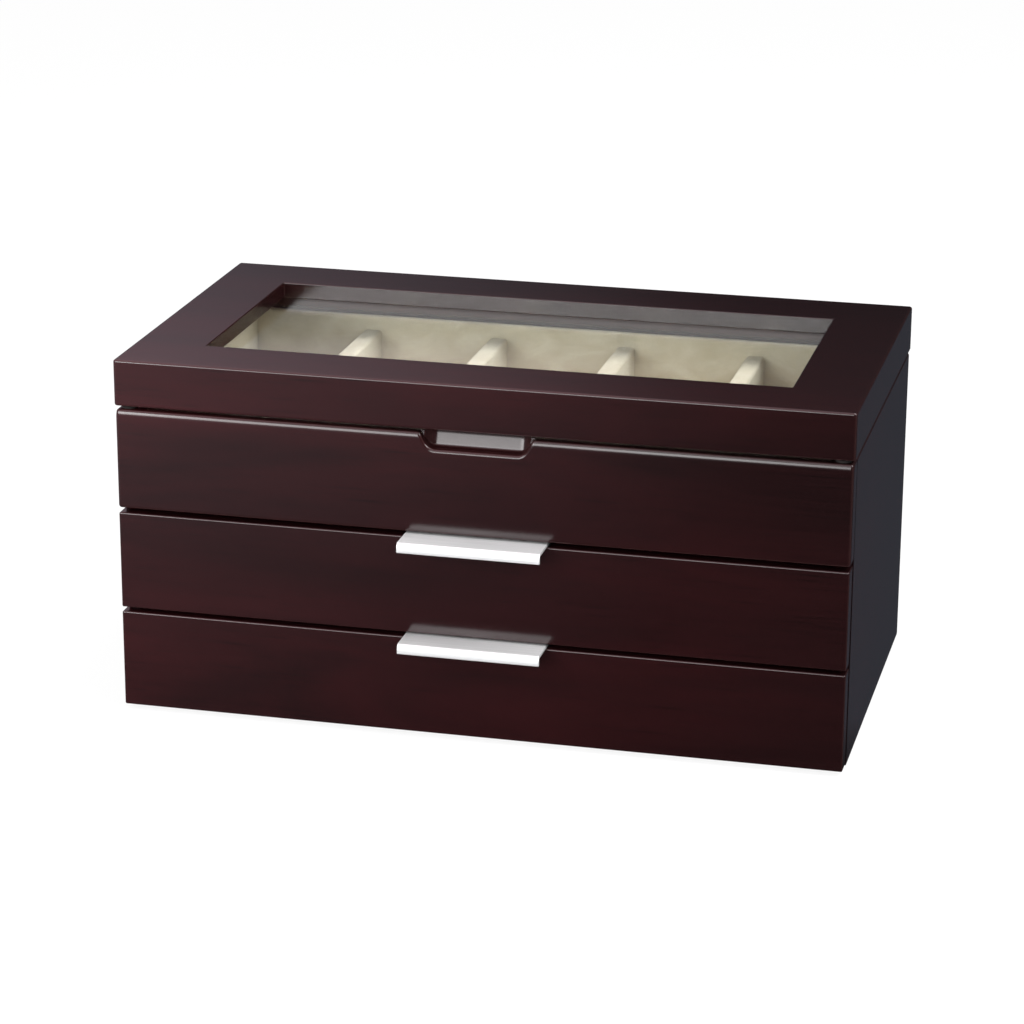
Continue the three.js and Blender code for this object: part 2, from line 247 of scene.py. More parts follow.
def dress(node, material, edge):
    """A CAD node that stays gets its material and softened edges."""
    kept = frame["nodes"][node]
    kept.data.materials.clear()
    kept.data.materials.append(material)
    kept.modifiers.new("one skin", "WELD").merge_threshold = 1e-6
    flat = kept.modifiers.new("whole faces", "DECIMATE")
    flat.decimate_type = "DISSOLVE"
    flat.angle_limit = math.radians(1)
    bevel = kept.modifiers.new("soft edges", "BEVEL")
    bevel.width = edge
    bevel.segments = 3
    bevel.limit_method = "ANGLE"
    bevel.angle_limit = math.radians(40)
    kept.data.shade_smooth()
    kept.modifiers.new("flat faces stay flat", "WEIGHTED_NORMAL").weight = 100


# ---- material helpers ----
def new_material(name):
    material = bpy.data.materials.new(name)
    material.use_nodes = True
    return material, material.node_tree, material.node_tree.nodes["Principled BSDF"]


def add_node(tree, kind, inputs=None, **settings):
    """A node with its settings, and its inputs set to values or linked from sockets."""
    node = tree.nodes.new(kind)
    for key, value in settings.items():
        setattr(node, key, value)
    for key, value in (inputs or {}).items():
        if isinstance(value, bpy.types.NodeSocket):
            tree.links.new(value, node.inputs[key])
        else:
            node.inputs[key].default_value = value
    return node


def stretched_noise(tree, scale, detail=3.0, roughness=0.5, distortion=0.0):
    """Noise in the piece's own space with a scale of its own along X, Y and Z, per metre."""
    place = add_node(tree, "ShaderNodeTexCoord").outputs["Object"]
    moved = add_node(tree, "ShaderNodeMapping", {"Vector": place, "Scale": scale})
    noise = add_node(
        tree,
        "ShaderNodeTexNoise",
        {
            "Vector": moved.outputs["Vector"],
            "Scale": 1.0,
            "Detail": detail,
            "Roughness": roughness,
            "Distortion": distortion,
        },
    )
    return noise.outputs["Fac"]


def mapped(tree, value, low, high, out_low=0.0, out_high=1.0):
    """value, from low to high, brought to out_low to out_high and kept there."""
    inputs = {"Value": value, "From Min": low, "From Max": high, "To Min": out_low, "To Max": out_high}
    return add_node(tree, "ShaderNodeMapRange", inputs).outputs["Result"]


def math_node(tree, operation, one, two=0.0):
    return add_node(tree, "ShaderNodeMath", {0: one, 1: two}, operation=operation).outputs[0]


def mixed(tree, factor, one, two):
    """Two colours mixed by a factor."""
    node = add_node(tree, "ShaderNodeMix", {"Factor": factor}, data_type="RGBA")
    for key, value in (("A", one), ("B", two)):
        socket = next(s for s in node.inputs if s.name == key and s.type == "RGBA")
        if isinstance(value, bpy.types.NodeSocket):
            tree.links.new(value, socket)
        else:
            socket.default_value = (*value, 1.0)
    return next(s for s in node.outputs if s.type == "RGBA")


def float_mix(tree, factor, one, two):
    inputs = {"Factor": factor, "A": one, "B": two}
    return add_node(tree, "ShaderNodeMix", inputs, data_type="FLOAT").outputs["Result"]


def edge_mask(tree, low=0.0, high=0.24):
    """1 on rounded edges and 0 on faces that lie square to the piece's axes."""
    normal = add_node(tree, "ShaderNodeTexCoord").outputs["Normal"]
    parts = add_node(tree, "ShaderNodeSeparateXYZ", {0: normal}).outputs
    sizes = [math_node(tree, "ABSOLUTE", part) for part in parts]
    largest = math_node(tree, "MAXIMUM", math_node(tree, "MAXIMUM", sizes[0], sizes[1]), sizes[2])
    return mapped(tree, math_node(tree, "SUBTRACT", 1.0, largest), low, high)


def bump(tree, height, distance, strength=1.0):
    inputs = {"Height": height, "Distance": distance, "Strength": strength}
    return add_node(tree, "ShaderNodeBump", inputs).outputs["Normal"]


# ---- materials ----
def painted_light_tone(tree):
    """How red the lacquer is by place, as painted light and shade: 1 at the chest's front left, where
    light falls, and less to the right and back, painted darker as shade.
    """
    place = add_node(tree, "ShaderNodeTexCoord").outputs["Object"]
    across, ahead, _ = add_node(tree, "ShaderNodeSeparateXYZ", {0: place}).outputs
    return math_node(
        tree,
        "MULTIPLY",
        mapped(tree, across, -0.16, 0.16, 1.0, 0.32),
        mapped(tree, ahead, -0.08, 0.07, 1.0, 0.30),
    )


def lacquer_material(name, along):
    """Dark cherry lacquer over wood, with its grain along one axis and a clear gloss coat."""
    material, tree, shader = new_material(name)
    fine = tuple(14.0 if axis == along else 900.0 for axis in range(3))
    broad = tuple(5.0 if axis == along else 26.0 for axis in range(3))
    streaks = stretched_noise(tree, fine, detail=5.0, roughness=0.65, distortion=0.3)
    pores = stretched_noise(tree, tuple(2.2 * value for value in fine), detail=2.0)
    patches = stretched_noise(tree, broad, detail=3.0, roughness=0.55, distortion=0.8)
    # The patches' red is scaled by painted light and shade: redder at the front left, darker to the right
    # and back.
    red = math_node(tree, "MULTIPLY", mapped(tree, patches, 0.12, 0.78), painted_light_tone(tree))
    wood = mixed(tree, red, (0.0040, 0.0024, 0.0026), (0.0390, 0.0058, 0.0072))
    wood = mixed(tree, mapped(tree, streaks, 0.35, 0.75, 0.0, 0.30), wood, (0.0200, 0.0060, 0.0064))
    wood = mixed(tree, mapped(tree, pores, 0.62, 0.70, 0.0, 0.6), wood, (0.0030, 0.0018, 0.0018))
    # Round edges are mixed toward a lighter red: partly lacquer worn thin, partly a painted highlight.
    wood = mixed(tree, math_node(tree, "MULTIPLY", edge_mask(tree), 0.35), wood, (0.050, 0.023, 0.022))
    tree.links.new(wood, shader.inputs["Base Color"])
    tree.links.new(mapped(tree, streaks, 0.3, 0.7, 0.30, 0.42), shader.inputs["Roughness"])
    tree.links.new(bump(tree, streaks, 0.02 * MM, 0.5), shader.inputs["Normal"])
    peel = stretched_noise(tree, (260.0, 260.0, 260.0), detail=1.5)
    tree.links.new(bump(tree, peel, 0.012 * MM, 0.5), shader.inputs["Coat Normal"])
    shader.inputs["Specular IOR Level"].default_value = 0.0
    shader.inputs["Coat Weight"].default_value = 1.0
    shader.inputs["Coat Roughness"].default_value = 0.17
    shader.inputs["Coat IOR"].default_value = 1.5
    return material


def stained_material():
    """Satin dark stain on the boards that show only inside."""
    material, tree, shader = new_material("stained_wood")
    streaks = stretched_noise(tree, (18.0, 500.0, 500.0), detail=5.0, roughness=0.6, distortion=0.4)
    rings = stretched_noise(tree, (3.0, 60.0, 60.0), detail=2.0, distortion=1.2)
    wood = mixed(tree, mapped(tree, rings, 0.35, 0.65), (0.012, 0.0050, 0.0048), (0.034, 0.0125, 0.0115))
    wood = mixed(tree, mapped(tree, streaks, 0.4, 0.75, 0.0, 0.6), wood, (0.050, 0.022, 0.019))
    tree.links.new(wood, shader.inputs["Base Color"])
    tree.links.new(mapped(tree, streaks, 0.3, 0.7, 0.42, 0.60), shader.inputs["Roughness"])
    tree.links.new(bump(tree, streaks, 0.05 * MM, 0.6), shader.inputs["Normal"])
    shader.inputs["Specular IOR Level"].default_value = 0.25
    return material


def suede_material():
    """Cream suede cloth with a short nap, brushed lighter and darker."""
    material, tree, shader = new_material("suede")
    brushed = stretched_noise(tree, (38.0, 38.0, 55.0), detail=4.0, roughness=0.6, distortion=1.4)
    nap = stretched_noise(tree, (900.0, 900.0, 900.0), detail=4.0, roughness=0.7)
    fibre = stretched_noise(tree, (3200.0, 2400.0, 3200.0), detail=2.0)
    cloth = mixed(tree, mapped(tree, brushed, 0.35, 0.68), (0.62, 0.558, 0.430), (0.76, 0.700, 0.570))
    cloth = mixed(tree, mapped(tree, nap, 0.35, 0.7, 0.0, 0.35), cloth, (0.52, 0.462, 0.350))
    tree.links.new(cloth, shader.inputs["Base Color"])
    tree.links.new(mapped(tree, nap, 0.3, 0.7, 0.85, 1.0), shader.inputs["Roughness"])
    height = math_node(tree, "ADD", nap, math_node(tree, "MULTIPLY", fibre, 0.5))
    tree.links.new(bump(tree, height, 0.25 * MM, 0.6), shader.inputs["Normal"])
    shader.inputs["Specular IOR Level"].default_value = 0.15
    shader.inputs["Sheen Weight"].default_value = 0.35
    shader.inputs["Sheen Roughness"].default_value = 0.5
    shader.inputs["Sheen Tint"].default_value = (1.0, 0.95, 0.85, 1.0)
    return material


def felt_material():
    """Dark brown pressed felt, with matted fibres."""
    material, tree, shader = new_material("felt")
    matted = stretched_noise(tree, (700.0, 500.0, 900.0), detail=5.0, roughness=0.7, distortion=2.0)
    clouds = stretched_noise(tree, (60.0, 60.0, 60.0), detail=2.0)
    cloth = mixed(tree, mapped(tree, matted, 0.35, 0.7), (0.006, 0.005, 0.005), (0.020, 0.015, 0.013))
    cloth = mixed(tree, mapped(tree, clouds, 0.4, 0.7, 0.0, 0.3), cloth, (0.012, 0.009, 0.008))
    tree.links.new(cloth, shader.inputs["Base Color"])
    tree.links.new(bump(tree, matted, 0.3 * MM, 0.8), shader.inputs["Normal"])
    shader.inputs["Roughness"].default_value = 0.95
    shader.inputs["Sheen Weight"].default_value = 0.05
    return material


def metal_material(name, colour, roughness, lines, depth, metallic):
    """Brushed metal. lines are the brush marks' frequencies along X, Y and Z, per metre, and
    depth is how deep they go."""
    material, tree, shader = new_material(name)
    marks = stretched_noise(tree, lines, detail=4.0, roughness=0.6)
    clouds = stretched_noise(tree, (40.0, 90.0, 90.0), detail=2.0)
    light = tuple(min(1.0, 1.05 * value) for value in colour)
    dark = tuple(0.86 * value for value in colour)
    shine = mixed(tree, mapped(tree, marks, 0.3, 0.7), dark, light)
    shine = mixed(tree, mapped(tree, clouds, 0.35, 0.7, 0.0, 0.25), shine, dark)
    tree.links.new(shine, shader.inputs["Base Color"])
    tree.links.new(mapped(tree, marks, 0.3, 0.7, roughness, roughness + 0.12), shader.inputs["Roughness"])
    tree.links.new(bump(tree, marks, depth, 0.5), shader.inputs["Normal"])
    shader.inputs["Metallic"].default_value = metallic
    shader.inputs["Anisotropic"].default_value = 0.4
    return material


def glass_material():
    """Clear float glass with a faint green body and slight waviness. Lamps shine through it."""
    material, tree, shader = new_material("glass")
    clouds = stretched_noise(tree, (9.0, 14.0, 9.0), detail=2.0)
    tint = mixed(tree, mapped(tree, clouds, 0.3, 0.7), (0.955, 0.975, 0.965), (0.975, 0.990, 0.982))
    tree.links.new(tint, shader.inputs["Base Color"])
    tree.links.new(bump(tree, clouds, 0.01 * MM, 0.3), shader.inputs["Normal"])
    shader.inputs["Roughness"].default_value = 0.0
    shader.inputs["IOR"].default_value = 1.52
    shader.inputs["Transmission Weight"].default_value = 1.0
    path = add_node(tree, "ShaderNodeLightPath")
    clear = add_node(tree, "ShaderNodeBsdfTransparent", {"Color": (0.90, 0.93, 0.915, 1.0)})
    both = add_node(
        tree,
        "ShaderNodeMixShader",
        {0: path.outputs["Is Shadow Ray"], 1: shader.outputs[0], 2: clear.outputs[0]},
    )
    tree.links.new(both.outputs[0], tree.nodes["Material Output"].inputs["Surface"])
    return material


LACQUER_X = lacquer_material("lacquer_along_x", 0)
LACQUER_Y = lacquer_material("lacquer_along_y", 1)
STAIN = stained_material()
SUEDE = suede_material()
FELT = felt_material()
GLASS = glass_material()
STEEL = metal_material(
    "hinge_steel",
    colour=(0.62, 0.60, 0.56),
    roughness=0.24,
    lines=(30.0, 1500.0, 1500.0),
    depth=0.01 * MM,
    metallic=0.9,
)
ALUMINIUM = metal_material(
    "pull_aluminium",
    colour=(0.93, 0.935, 0.94),
    roughness=0.36,
    lines=(12.0, 2600.0, 2600.0),
    depth=0.015 * MM,
    metallic=0.45,
)


# ---- boards ----
def rounded_board(name, node, across, edge, body, material):
    """A board with round edges and corners in place of a CAD board. across is its thin axis."""
    low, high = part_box(node)
    u, v = (axis for axis in range(3) if axis != across)
    rings = []
    for place, inset in stations(low[across], high[across], edge):
        outline = rounded_rectangle(
            (low[u] + inset, low[v] + inset),
            (high[u] - inset, high[v] - inset),
            max(edge - inset, HAIR),
        )
        rings.append([on_axes(across, place, u, a, v, b) for a, b in outline])
    return piece(name, loft(rings), body, material, [node])


# ---- case ----
def case_shell():
    """Both sides and the back as one lacquered shell, open to the front."""
    side_low, side_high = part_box("side_panel_right")
    back_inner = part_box("back_panel")[0].y
    rings = []
    for z, inset in stations(side_low.z, side_high.z, RIM_EDGE):
        outer = side_high.x - inset
        inner = side_low.x + inset
        y_front = side_low.y + inset
        y_back = side_high.y - inset
        corner = CASE_EDGE - inset
        outline = [(inner, y_front), (outer, y_front)]
        outline += arc((outer - corner, y_back - corner), corner, 0, 90)
        outline += arc((corner - outer, y_back - corner), corner, 90, 180)
        outline += [(-outer, y_front), (-inner, y_front)]
        outline += [(-inner, back_inner + inset), (inner, back_inner + inset)]
        rings.append(level_ring(outline, z))
    replaced = ["side_panel_left", "side_panel_right", "back_panel"]
    piece("case_shell", loft(rings), "case", LACQUER_Y, replaced)


def notch_drop(t):
    """The notch's end at t from 0 to 1: the distance from the middle, and the drop below the top."""
    ends = (0.0, NOTCH_BROW * NOTCH_RUN, (1 - NOTCH_BOWL) * NOTCH_RUN, NOTCH_RUN)
    weights = ((1 - t) ** 3, 3 * t * (1 - t) ** 2, 3 * t**2 * (1 - t), t**3)
    inward = sum(weight * end for weight, end in zip(weights, ends))
    return NOTCH_TOP / 2 - inward, NOTCH_DEEP * (weights[2] + weights[3])


def notch_forward(distance):
    """How far the notch's wall comes forward near its ends, at a distance from the middle."""
    past = distance - (NOTCH_TOP / 2 - NOTCH_END_INSET - NOTCH_END_ROUND)
    if past <= 0:
        return 0.0
    reach = NOTCH_END_ROUND**2 - min(past, NOTCH_END_ROUND) ** 2
    return min(NOTCH_END_DEEP, NOTCH_END_ROUND - math.sqrt(reach))


def case_front_section(low, high, drop, forward, inset):
    """The board's outline in Y and Z where the notch has that drop. Inset rounds off the ends."""
    y_front = low.y + inset
    y_back = high.y - inset
    bottom = low.z + inset
    top = high.z - inset
    edge = max(CASE_EDGE - inset, HAIR)
    inner = max(INNER_EDGE - inset, HAIR)
    share = drop / NOTCH_DEEP
    lip_tall = CASE_LIP_TALL + (NOTCH_LIP - CASE_LIP_TALL) * share
    lip_deep = CASE_LIP_DEEP + (NOTCH_LIP - CASE_LIP_DEEP) * share
    wall_top = low.y + NOTCH_BACK - forward
    wall_foot = wall_top - NOTCH_WALL_SLOPE * drop
    cove = min(NOTCH_COVE, 0.4 * drop)
    lip = min(INNER_EDGE, 0.3 * drop)
    return (
        arc((y_back - inner, bottom + inner), inner, 0, -90)
        + arc((y_front + edge, bottom + edge), edge, -90, -180)
        + [(y_front + lip_deep * back, top - drop - lip_tall * down) for down, back in edge_steps(1.0)]
        + arc((wall_foot - cove, top - drop + cove), cove, -90, 0)
        + arc((wall_top + lip, top - lip), lip, 180, 90)
        + arc((y_back - inner, top - inner), inner, 90, 0)
    )


def case_front():
    """The fixed board of the top tier, with a coved finger notch in its top edge."""
    low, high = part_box("case_front")
    left_end = [(low.x + gone, 0.0, inset) for gone, inset in reversed(edge_steps(CASE_EDGE))]
    left_curve = []
    for i in range(NOTCH_STEPS + 1):
        distance, drop = notch_drop(i / NOTCH_STEPS)
        left_curve.append((-distance, drop, 0.0))
    left = left_end + left_curve
    right = [(-x, drop, inset) for x, drop, inset in reversed(left)]
    rings = []
    for x, drop, inset in left + right:
        section = case_front_section(low, high, drop, notch_forward(abs(x)), inset)
        rings.append([Vector((x, y, z)) for y, z in section])
    piece("case_front_board", loft(rings), "case", LACQUER_X, ["case_front"])


def bumpers():
    """Small domed felt pads between the case front and the lid."""
    for side in ("left", "right"):
        low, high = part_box(f"lid_bumper_{side}")
        middle = (low + high) / 2
        radius = (high.x - low.x) / 2
        tall = high.z - low.z
        rings = []
        for gone, inset in [(tall, BUMPER_TAPER)] + edge_steps(tall * BUMPER_DOME):
            rings.append(circle(middle.x, middle.y, high.z - gone, radius - inset))
        pad = piece(f"felt_bumper_{side}", loft(rings), "case", FELT, [f"lid_bumper_{side}"])


# ---- linings ----
def swell(share, power=4):
    """How full padding stands at a share of its width: 1 in the middle and 0 at both edges."""
    return 1 - abs(2 * share - 1) ** power


def wall_pad(name, node, thin, face):
    """A suede-covered pad against a wall. thin is its thin axis and face the side that shows."""
    low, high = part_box(node)
    along = 1 - thin
    thick = high[thin] - low[thin]
    tall = high.z - low.z
    shown = high[thin] if face > 0 else low[thin]
    edge = thick * PAD_ROUND
    run = high[along] - low[along] - 2 * edge
    middle = [low[along] + edge + run * i / PAD_STEPS for i in range(1, PAD_STEPS)]
    rings = []
    for place, inset in stations(low[along], high[along], edge, middle):
        fullness = swell((place - low[along]) / (high[along] - low[along]), 8)
        face_side = []
        for i in range(PAD_STEPS + 1):
            share = i / PAD_STEPS
            depth = PAD_CROWN * (1 - fullness * swell(share))
            v = edge + (tall - 2 * edge) * share
            face_side.append((depth + inset, v))
        outline = (
            arc((edge + PAD_CROWN, edge), edge - inset, 180, 270)
            + [(thick - inset, inset), (thick - inset, tall - inset)]
            + arc((edge + PAD_CROWN, tall - edge), edge - inset, 90, 180)
            + face_side[::-1][1:-1]
        )
        rings.append([
            on_axes(along, place, thin, shown - face * depth, 2, low.z + v) for depth, v in outline
        ])
    pad = piece(name, loft(rings), "case", SUEDE, [node])


def tray_floor_pad():
    """The thin pad on the tray's floor."""
    pad = rounded_board("tray_floor_pad", "tray_lining_floor", 2, FLOOR_PAD_EDGE, "case", SUEDE)


def divider_pad(name, node):
    """A padded divider with round top edges, a little fuller in the middle than at its ends."""
    low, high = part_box(node)
    middle = (low.x + high.x) / 2
    half = (high.x - low.x) / 2
    run = high.y - low.y - 2 * DIVIDER_END
    between = [low.y + DIVIDER_END + run * i / PAD_STEPS for i in range(1, PAD_STEPS)]
    rings = []
    for y, inset in stations(low.y, high.y, DIVIDER_END, between):
        fullness = swell((y - low.y) / (high.y - low.y), 6)
        width = half - DIVIDER_CROWN * (1 - fullness) - inset
        edge = DIVIDER_ROUND - inset
        shoulder = high.z - DIVIDER_ROUND - DIVIDER_CROWN * (1 - fullness)
        side = []
        for i in range(PAD_STEPS):
            share = i / PAD_STEPS
            pinch = DIVIDER_CROWN * (1 - share) ** 3
            side.append((width - pinch, low.z + inset + (shoulder - low.z - inset) * share))
        outline = side + arc((width - edge, shoulder), edge, 0, 90)
        outline += arc((edge - width, shoulder), edge, 90, 180)
        outline += [(-x, z) for x, z in reversed(side)]
        rings.append([Vector((middle + x, y, z)) for x, z in outline])
    pad = piece(name, loft(rings), "case", SUEDE, [node])


def drawer_pad(drawer):
    """A drawer's lining, one soft tray with a coved floor."""
    node = f"{drawer}_lining"
    low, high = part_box(node)
    skin = LINING_SKIN
    floor = low.z + skin
    cove = LINING_COVE
    profile = [(inset, low.z + gone) for gone, inset in reversed(edge_steps(LINING_EDGE))]
    profile += [(skin / 2 - x, z) for x, z in arc((0.0, high.z - skin / 2), skin / 2, 0, 180)]
    profile += [(x, z) for x, z in arc((skin + cove, floor + cove), cove, 180, 270)]
    inner = (high.y - low.y) / 2 - skin - cove
    for i in range(1, PAD_STEPS):
        share = i / PAD_STEPS
        profile.append((skin + cove + inner * share, floor + PAD_CROWN * math.sin(math.pi / 2 * share)))
    rings = []
    for inset, z in profile:
        corner = max(HAIR, LINING_CORNER - abs(inset - skin)) if inset < skin + cove else HAIR
        outline = rounded_rectangle(
            (low.x + inset, low.y + inset), (high.x - inset, high.y - inset), corner
        )
        rings.append(level_ring(outline, z))
    pad = piece(f"{drawer}_suede_tray", loft(rings), drawer, SUEDE, [node])


# ---- lid ----
def lid_frame():
    """The four mitred rails as one lacquered frame of L section round the window."""
    low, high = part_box("lid_rail_front")
    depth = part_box("lid_rail_back")[1].y
    half_x = high.x
    width = high.y - low.y
    glass_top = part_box("glass_pane")[1].z
    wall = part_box("glass_bead_front")[0].y - low.y
    profile = arc((LID_EDGE, low.z + LID_EDGE), LID_EDGE, 270, 180)
    profile += arc((LID_EDGE, high.z - LID_EDGE), LID_EDGE, 180, 90)
    profile += arc((width - INNER_EDGE, high.z - INNER_EDGE), INNER_EDGE, 90, 0)
    profile += arc((width - METAL_EDGE, glass_top + METAL_EDGE), METAL_EDGE, 0, -90, METAL_STEPS)
    profile += [(wall, glass_top)]
    profile += arc((wall - INNER_EDGE, low.z + INNER_EDGE), INNER_EDGE, 0, -90)
    rings = []
    for inset, z in profile:
        corner = max(CASE_EDGE - inset, WINDOW_CORNER)
        outline = rounded_rectangle(
            (inset - half_x, inset - depth), (half_x - inset, depth - inset), corner
        )
        rings.append(level_ring(outline, z))
    replaced = [f"lid_rail_{side}" for side in ("front", "right", "back", "left")]
    piece("lid_frame", loft(rings, joined=True), "lid", LACQUER_X, replaced)


# ---- metal ----
def pull_outline(low, high, inset):
    """The bent plate's outline in Y and Z, with its lip turned down."""
    tip = low.y + inset
    rear = high.y - inset
    top = high.z - inset
    under = high.z - PULL_PLATE + inset
    thick = PULL_PLATE - 2 * inset
    lip = low.z + inset + thick / 2
    return (
        [(rear, under), (rear, top)]
        + [
            (tip + PULL_BEND_DEEP * back, top - PULL_BEND_TALL * down)
            for down, back in reversed(edge_steps(1.0))
        ]
        + arc((tip + thick / 2, lip), thick / 2, 180, 360)
        + [(tip + thick, under)]
    )


def pull(drawer):
    """The bent aluminium plate on a drawer front's top edge, with its two countersunk holes."""
    node = f"{drawer}_pull"
    low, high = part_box(node)
    rings = []
    for x, inset in stations(low.x, high.x, METAL_EDGE, steps=METAL_STEPS):
        rings.append([Vector((x, y, z)) for y, z in pull_outline(low, high, inset)])
    screws = [f"{node}_screw_{i}" for i in (1, 2)]
    holes = [screw_hole(screw) for screw in screws]
    piece(f"{drawer}_bent_pull", loft(rings), drawer, ALUMINIUM, [node], holes)
    for screw in screws:
        cross_screw(screw, drawer, 1)


def screw_hole(node):
    """A countersunk hole round a screw, as rings to cut with."""
    low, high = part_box(node)
    middle = (low + high) / 2
    head = (high.x - low.x) / 2 + SCREW_ROOM
    shank = head / 2 + SCREW_ROOM
    levels = [(high.z + head, head), (high.z, head), (high.z - head + shank, shank), (low.z, shank)]
    return loft([circle(middle.x, middle.y, z, radius) for z, radius in levels])


def cross_screw(node, body, up):
    """A countersunk screw with a cross recess. up is 1 where its head faces up and -1 down."""
    low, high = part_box(node)
    middle = (low + high) / 2
    head = (high.x - low.x) / 2
    face = high.z if up > 0 else low.z
    tip = low.z if up > 0 else high.z
    shank = head * SCREW_SHANK
    levels = [
        (face - up * 0.02 * MM, head * 0.3),
        (face - up * 0.04 * MM, head * 0.9),
        (face - up * 0.12 * MM, head),
        (face - up * (head - shank), shank),
        (tip + up * shank, shank),
        (tip + up * 0.1 * MM, HAIR),
    ]
    bm = loft([circle(middle.x, middle.y, z, radius) for z, radius in levels])
    place = Matrix.Translation((middle.x, middle.y, face))
    size = Matrix.Diagonal((head * CROSS_LONG, head * CROSS_WIDE, head * CROSS_DEEP, 1.0))
    slots = []
    for degrees in (45, 135):
        turn = Matrix.Rotation(math.radians(degrees), 4, "Z")
        slot = bmesh.new()
        bmesh.ops.create_cube(slot, size=1.0)
        bmesh.ops.transform(slot, matrix=place @ turn @ size, verts=slot.verts)
        slots.append(slot)
    piece(f"{node}_cross_head", bm, body, STEEL, [node], slots)


# ---- assembly ----
def kept_nodes():
    """CAD nodes whose shape is right, with their material and softened edges."""
    for node in ("bottom_panel", "drawer_shelf", "tray_floor"):
        dress(node, STAIN, INNER_EDGE)
    for side in ("front", "back", "left", "right"):
        dress(f"glass_bead_{side}", STAIN, INNER_EDGE)
    for drawer in DRAWERS:
        for board in ("side_left", "side_right", "back", "bottom"):
            dress(f"{drawer}_{board}", STAIN, INNER_EDGE)
    for side in ("left", "right"):
        for part in ("case_leaf", "lid_leaf", "pin"):
            dress(f"hinge_{part}_{side}", STEEL, HINGE_EDGE)


def chest():
    case_shell()
    case_front()
    bumpers()
    base = rounded_board("felt_sheet", "felt_base", 2, FELT_EDGE, "case", FELT)
    tray_floor_pad()
    for side, thin, face in (("back", 1, -1), ("front", 1, 1), ("left", 0, 1), ("right", 0, -1)):
        wall_pad(f"tray_pad_{side}", f"tray_lining_{side}", thin, face)
    for i in range(1, 5):
        divider_pad(f"divider_pad_{i}", f"tray_divider_{i}")
    lid_frame()
    rounded_board("window_glass", "glass_pane", 2, METAL_EDGE, "lid", GLASS)
    for drawer in DRAWERS:
        front = f"{drawer}_front"
        rounded_board(f"{front}_board", front, 1, DRAWER_EDGE, drawer, LACQUER_X)
        drawer_pad(drawer)
        pull(drawer)
    for i in range(1, 5):
        cross_screw(f"hinge_case_screw_{i}", "case", 1)
        cross_screw(f"hinge_lid_screw_{i}", "lid", -1)
    kept_nodes()


# ---- studio ----
def floor_material():
    """Pale matt floor, which mirror images show as the dim surround of a studio table."""
    material, tree, shader = new_material("pale_floor")
    grain = stretched_noise(tree, (300.0, 300.0, 300.0), detail=3.0)
    tree.links.new(mixed(tree, grain, (0.80, 0.80, 0.80), (0.84, 0.84, 0.84)), shader.inputs["Base Color"])
    shader.inputs["Roughness"].default_value = 0.9
    shader.inputs["Specular IOR Level"].default_value = 0.1
    place = add_node(tree, "ShaderNodeTexCoord").outputs["Object"]
    across, ahead, _ = add_node(tree, "ShaderNodeSeparateXYZ", {0: place}).outputs
    front = math_node(
        tree,
        "MULTIPLY",
        mapped(tree, across, -0.45, 0.05, 0.60, 0.0),
        mapped(tree, ahead, -0.45, -0.10, 1.0, 0.45),
    )
    behind = mapped(tree, ahead, -0.11, -0.02)
    dim = math_node(tree, "ADD", front, math_node(tree, "MULTIPLY", behind, 0.062))
    tint = mixed(tree, behind, (0.95, 0.95, 1.02), (0.88, 0.95, 1.18))
    mirrored = add_node(tree, "ShaderNodeEmission", {"Color": tint, "Strength": dim})
    path = add_node(tree, "ShaderNodeLightPath").outputs
    white = add_node(tree, "ShaderNodeEmission", {"Strength": 1.1})
    direct = math_node(tree, "MAXIMUM", path["Is Camera Ray"], path["Is Transmission Ray"])
    mirror = math_node(tree, "SUBTRACT", path["Is Glossy Ray"], path["Is Transmission Ray"])
    lit = math_node(tree, "MULTIPLY", direct, 0.8)
    plain = add_node(tree, "ShaderNodeMixShader", {0: lit, 1: shader.outputs[0], 2: white.outputs[0]})
    both = add_node(
        tree,
        "ShaderNodeMixShader",
        {0: mirror, 1: plain.outputs[0], 2: mirrored.outputs[0]},
    )
    tree.links.new(both.outputs[0], tree.nodes["Material Output"].inputs["Surface"])
    material.cycles.emission_sampling = "NONE"
    return material


def floor():
    """The studio's floor, which is no part of the chest."""
    bm = bmesh.new()
    bmesh.ops.create_grid(bm, x_segments=8, y_segments=8, size=6.0)
    mesh = bpy.data.meshes.new("studio_floor")
    bm.to_mesh(mesh)
    bm.free()
    mesh.materials.append(floor_material())
    ground = bpy.data.objects.new("studio_floor", mesh)
    bpy.context.scene.collection.objects.link(ground)


def mirrored_studio(tree, across, up):
    """How bright the world is in mirror images: a glow at the left, and a lighter ceiling."""
    glow = math_node(
        tree,
        "MULTIPLY",
        mapped(tree, across, -0.34, -0.17, 0.52, 0.05),
        mapped(tree, up, 0.264, 0.274, 0.20, 1.0),
    )
    return math_node(tree, "ADD", glow, mapped(tree, up, 0.42, 0.95, 0.0, 0.8))


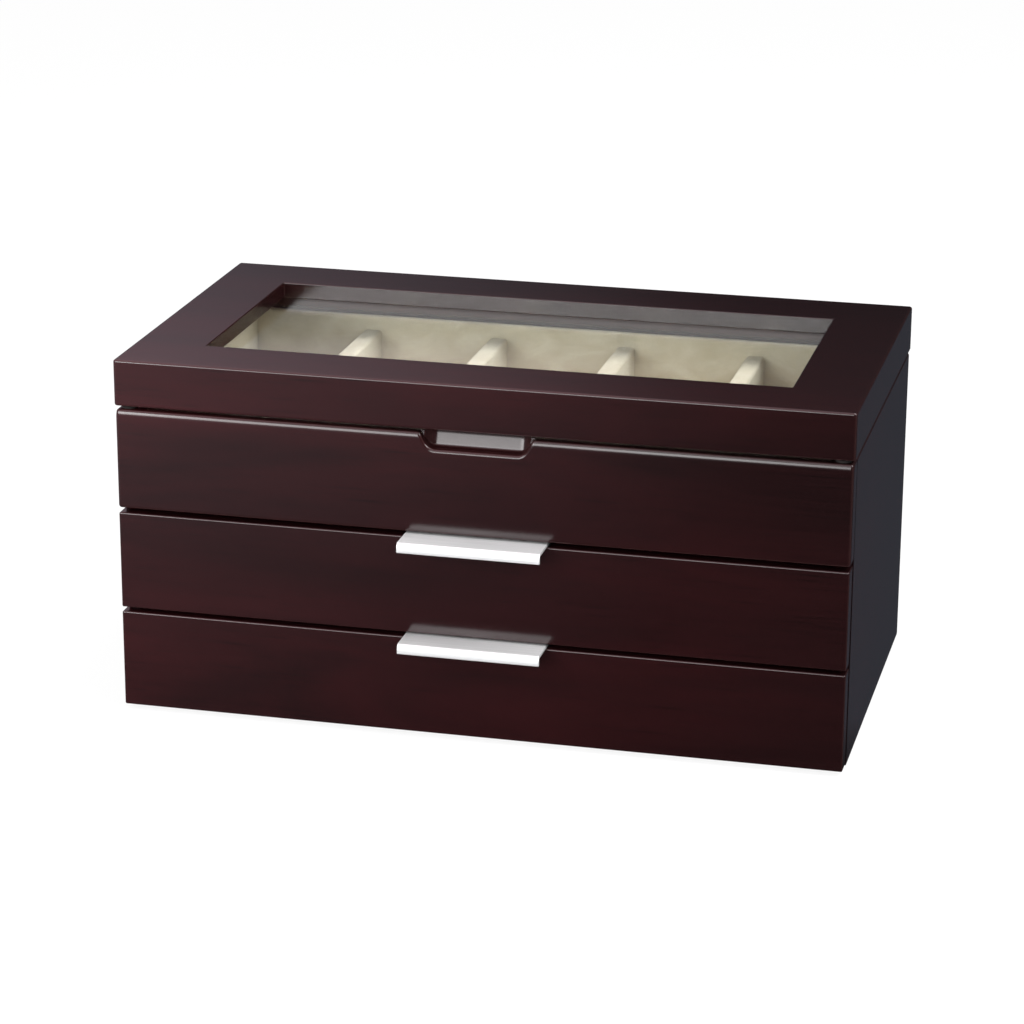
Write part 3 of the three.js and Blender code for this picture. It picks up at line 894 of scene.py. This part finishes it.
def world():
    """White to the camera, a dim studio in mirror images, and AMBIENT to all other light."""
    made = bpy.data.worlds.new("studio")
    bpy.context.scene.world = made
    made.use_nodes = True
    tree = made.node_tree
    tree.nodes.clear()
    made.cycles.sampling_method = "NONE"
    direction = add_node(tree, "ShaderNodeTexCoord").outputs["Generated"]
    across, _, up = add_node(tree, "ShaderNodeSeparateXYZ", {0: direction}).outputs
    dim = mirrored_studio(tree, across, up)
    path = add_node(tree, "ShaderNodeLightPath").outputs
    indirect = float_mix(tree, path["Is Glossy Ray"], AMBIENT, dim)
    near_floor = mapped(tree, up, 0.02, 0.10, 1.0, 0.0)
    through_glass = math_node(tree, "MULTIPLY", path["Is Transmission Ray"], near_floor)
    direct = math_node(tree, "MAXIMUM", path["Is Camera Ray"], through_glass)
    strength = float_mix(tree, direct, indirect, 1.0)
    cool_to_warm = mixed(tree, mapped(tree, up, 0.262, 0.278), (0.87, 1.0, 1.25), (1.32, 1.0, 1.10))
    tint = mixed(tree, path["Is Glossy Ray"], (1.0, 1.0, 1.0), cool_to_warm)
    background = add_node(tree, "ShaderNodeBackground", {"Color": tint, "Strength": strength})
    output = add_node(tree, "ShaderNodeOutputWorld")
    tree.links.new(background.outputs[0], output.inputs["Surface"])


def softbox(name, place, target, size, power):
    """A rectangular lamp at a place, turned to a target. size is in metres and power in watts."""
    light = bpy.data.lights.new(name, "AREA")
    light.shape = "RECTANGLE"
    light.size, light.size_y = size
    light.energy = power
    lamp = bpy.data.objects.new(name, light)
    lamp.location = place
    lamp.rotation_euler = (Vector(target) - Vector(place)).to_track_quat("-Z", "Y").to_euler()
    lamp.visible_camera = False
    bpy.context.scene.collection.objects.link(lamp)


def lights():
    softbox("top_softbox", (0.45, 0.0, 1.5), (0.0, 0.0, 0.1), (0.8, 0.7), 10.0)
    softbox("low_softbox", (-0.55, -2.05, 0.68), (0.0, 0.0, 0.1), (1.0, 0.85), 21.0)
    softbox("near_softbox", (-0.60, -0.80, 0.45), (-0.15, 0.0, 0.08), (0.35, 0.35), 3.7)
    softbox("right_softbox", (1.1, -0.4, 1.2), (0.0, 0.0, 0.12), (0.6, 0.6), 12.0)
    softbox("front_softbox", (-0.1, -1.7, 1.5), (0.0, 0.0, 0.08), (1.0, 0.6), 4.0)


def camera():
    """The camera at the viewing angle, looking at CAMERA_AIM with a slight roll."""
    azimuth = math.radians(CAMERA_AZIMUTH)
    elevation = math.radians(CAMERA_ELEVATION)
    back = Vector((
        math.sin(azimuth) * math.cos(elevation),
        -math.cos(azimuth) * math.cos(elevation),
        math.sin(elevation),
    ))
    right = Vector((0, 0, 1)).cross(back).normalized()
    turned = Matrix.Rotation(math.radians(CAMERA_ROLL), 3, back)
    right = turned @ right
    up = back.cross(right)
    data = bpy.data.cameras.new("camera")
    data.sensor_width = 36.0
    data.lens = CAMERA_LENS
    made = bpy.data.objects.new("camera", data)
    axes = Matrix((right, up, back)).transposed().to_4x4()
    made.matrix_world = Matrix.Translation(CAMERA_AIM + back * CAMERA_DISTANCE) @ axes
    bpy.context.scene.collection.objects.link(made)
    bpy.context.scene.camera = made


chest()
floor()
world()
lights()
camera()
bpy.context.scene.view_settings.view_transform = "Standard"
